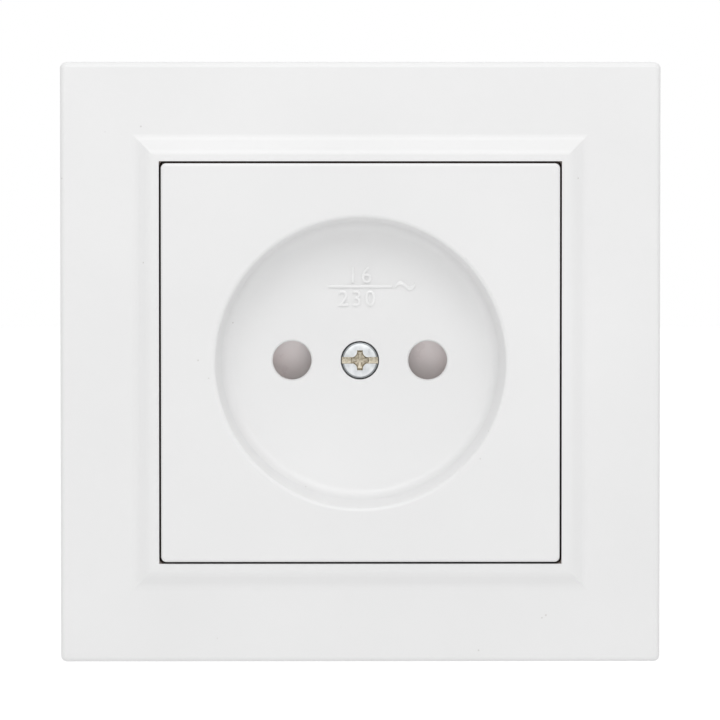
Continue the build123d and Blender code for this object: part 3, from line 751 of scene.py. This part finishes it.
# Pressed thermoset: light grey and matt, with fine pale specks of filler. The specks are about
# 0.1 mm, and are drawn 0.5 mm apart, to show. The cover's batch is a shade darker.
pressed_base = speckle_plastic("pressed_base", "#D8D8D4", "#DEDEDA", roughness=0.55,
                               spacing=filler_spacing)
pressed_cover = speckle_plastic("pressed_cover", "#CCCCC8", "#D3D3CF", roughness=0.55,
                                spacing=filler_spacing)
dress(pressed_base, "base")
dress(pressed_cover, "base_cover")


# The two screws of the back cover: like the centre screw but with a plain cross. Their heads
# lie on the cover, turned to the wall box.
def twin(piece, name):
    """A copy of a piece with its own mesh."""
    take(piece)
    bpy.ops.object.duplicate()
    copy = bpy.context.object
    copy.name = name
    return copy


# Plated screw steel: zinc with a fine haze, brighter than the strip and a little less even than
# the centre screw, because these are not made to be seen.
haze_patch = 0.8 * MM
plated_screw, tree, shader, place = start_material("plated_screw", "#D9DBDC", 0.33, metallic=1.0)
haze = add_node(tree, "ShaderNodeTexNoise", Vector=place, Scale=1 / haze_patch, Detail=4.0)
tone = add_node(tree, "ShaderNodeMapRange", Value=haze.outputs[0], From_Min=0.35, From_Max=0.65)
body = add_node(tree, "ShaderNodeMix", colour_mix, _0=tone.outputs[0],
                _6=linear("#C3C6C8"), _7=linear("#E2E3E4"))
tree.links.new(body.outputs[2], shader.inputs["Base Color"])
gloss = add_node(tree, "ShaderNodeMapRange", Value=haze.outputs[0],
                 From_Min=0.3, From_Max=0.7, To_Min=0.28, To_Max=0.44)
tree.links.new(gloss.outputs[0], shader.inputs["Roughness"])

cover_screw_low, cover_screw_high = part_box("base_cover_screw_lower")
cover_screw = machine_screw(
    "cover_screw_lower", head_radius=2.2 * MM, head_height=1.5 * MM, shank_radius=1.2 * MM,
    length=cover_screw_high.y - cover_screw_low.y, pitch=0.6 * MM, material=plated_screw,
    tools=(
        cross_tool(length=2.7 * MM, width=0.7 * MM, depth=0.9 * MM, material=recess_zinc),
    ),
)
other_cover_screw = twin(cover_screw, "cover_screw_upper")
for screw, node in ((cover_screw, "base_cover_screw_lower"),
                    (other_cover_screw, "base_cover_screw_upper")):
    set_in_place(screw, node, turn=(0, 0, 180), y=1.0)
    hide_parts(node)
    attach(screw, "socket")


# The contacts and the terminal blocks of both poles: the contacts are stamped and bent from
# sheet brass, and the blocks milled from bar. Steel clips round the contacts add to their grip.
def brass(name, tarnish_patch):
    """Brass: yellow metal that tarnishes brown in patches of this size, duller there. It has
    fine scratches from the tumbling drum, drawn 0.2 mm wide to show."""
    material, tree, shader, place = start_material(name, "#D9B36A", 0.3, metallic=1.0)
    patches = add_node(tree, "ShaderNodeTexNoise", Vector=place, Scale=1 / tarnish_patch,
                       Detail=5.0)
    tarnish = add_node(tree, "ShaderNodeMapRange", Value=patches.outputs[0],
                       From_Min=0.42, From_Max=0.7)
    body = add_node(tree, "ShaderNodeMix", colour_mix, _0=tarnish.outputs[0],
                    _6=linear("#DDB96F"), _7=linear("#A67C41"))
    tree.links.new(body.outputs[2], shader.inputs["Base Color"])
    gloss = add_node(tree, "ShaderNodeMapRange", Value=patches.outputs[0],
                     From_Min=0.3, From_Max=0.7, To_Min=0.24, To_Max=0.42)
    tree.links.new(gloss.outputs[0], shader.inputs["Roughness"])
    scratches = add_node(tree, "ShaderNodeTexNoise", Vector=place, Scale=1 / (0.2 * MM))
    bump = add_node(tree, "ShaderNodeBump", Height=scratches.outputs[0], Strength=0.3,
                    Distance=0.004 * MM)
    tree.links.new(bump.outputs[0], shader.inputs["Normal"])
    return material


# Stamped brass tarnishes in smaller patches than milled brass. Blued steel is a dark, cold
# grey, with rolling lines along the clip's arms.
stamped_brass = brass("stamped_brass", tarnish_patch=3 * MM)
milled_brass = brass("milled_brass", tarnish_patch=5 * MM)
blued_steel = lined_steel("blued_steel", "#5E6470", "#8B8F96", roughness=0.3,
                          line_size=(line_width, line_length, line_width))
dress(stamped_brass, "contact_right", "contact_left")
dress(milled_brass, "terminal_block_right", "terminal_block_left")
dress(blued_steel, "contact_clip_right", "contact_clip_left")


# The four terminal screws: short slotted screws of plated steel that press the wire in its
# block. The left block's pair is the right pair turned half a turn about the socket's middle.
terminal_low, terminal_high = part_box("terminal_screw_inner_right")
terminal_screw = machine_screw(
    "terminal_screw_inner", head_radius=2.1 * MM, head_height=1.6 * MM,
    shank_radius=1.2 * MM, length=terminal_high.z - terminal_low.z, pitch=0.5 * MM,
    material=plated_screw,
    tools=(
        slot_tool(length=5 * MM, width=0.8 * MM, depth=0.7 * MM, material=recess_zinc),
    ),
)
slot_angles = (("inner", 12), ("outer", -25))
terminal_sides = (("right", -90, 1.0), ("left", 90, 0.0))
for row, slot_angle in slot_angles:
    for side, lean, top in terminal_sides:
        node = f"terminal_screw_{row}_{side}"
        screw = twin(terminal_screw, f"{node}_threaded")
        screw.rotation_euler.y = math.radians(slot_angle)
        fix_place(screw)
        set_in_place(screw, node, turn=(lean, 0, 0), y=0.5, z=top)
        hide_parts(node)
        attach(screw, "socket")
take(terminal_screw)
bpy.ops.object.delete()


# The two claw screws: long slotted screws, reached through the strap from the room. Turning one
# draws its nut forward, and the claw is pushed out into the wall box.
claw_screw_low, claw_screw_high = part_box("claw_screw_right")
claw_screw = machine_screw(
    "claw_screw_right_threaded", head_radius=2.6 * MM, head_height=1.8 * MM,
    shank_radius=1.5 * MM, length=claw_screw_high.y - claw_screw_low.y, pitch=0.5 * MM,
    material=plated_screw,
    tools=(
        slot_tool(length=6 * MM, width=0.8 * MM, depth=0.9 * MM, material=recess_zinc),
    ),
)
claw_screws = {"right": claw_screw, "left": twin(claw_screw, "claw_screw_left_threaded")}
for side, screw in claw_screws.items():
    node = f"claw_screw_{side}"
    set_in_place(screw, node, turn=(0, 0, 0))
    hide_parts(node)
    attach(screw, node)


# The finished socket, with every piece in its place. Its colours are shown as they were set.
bpy.context.scene.view_settings.view_transform = "Standard"
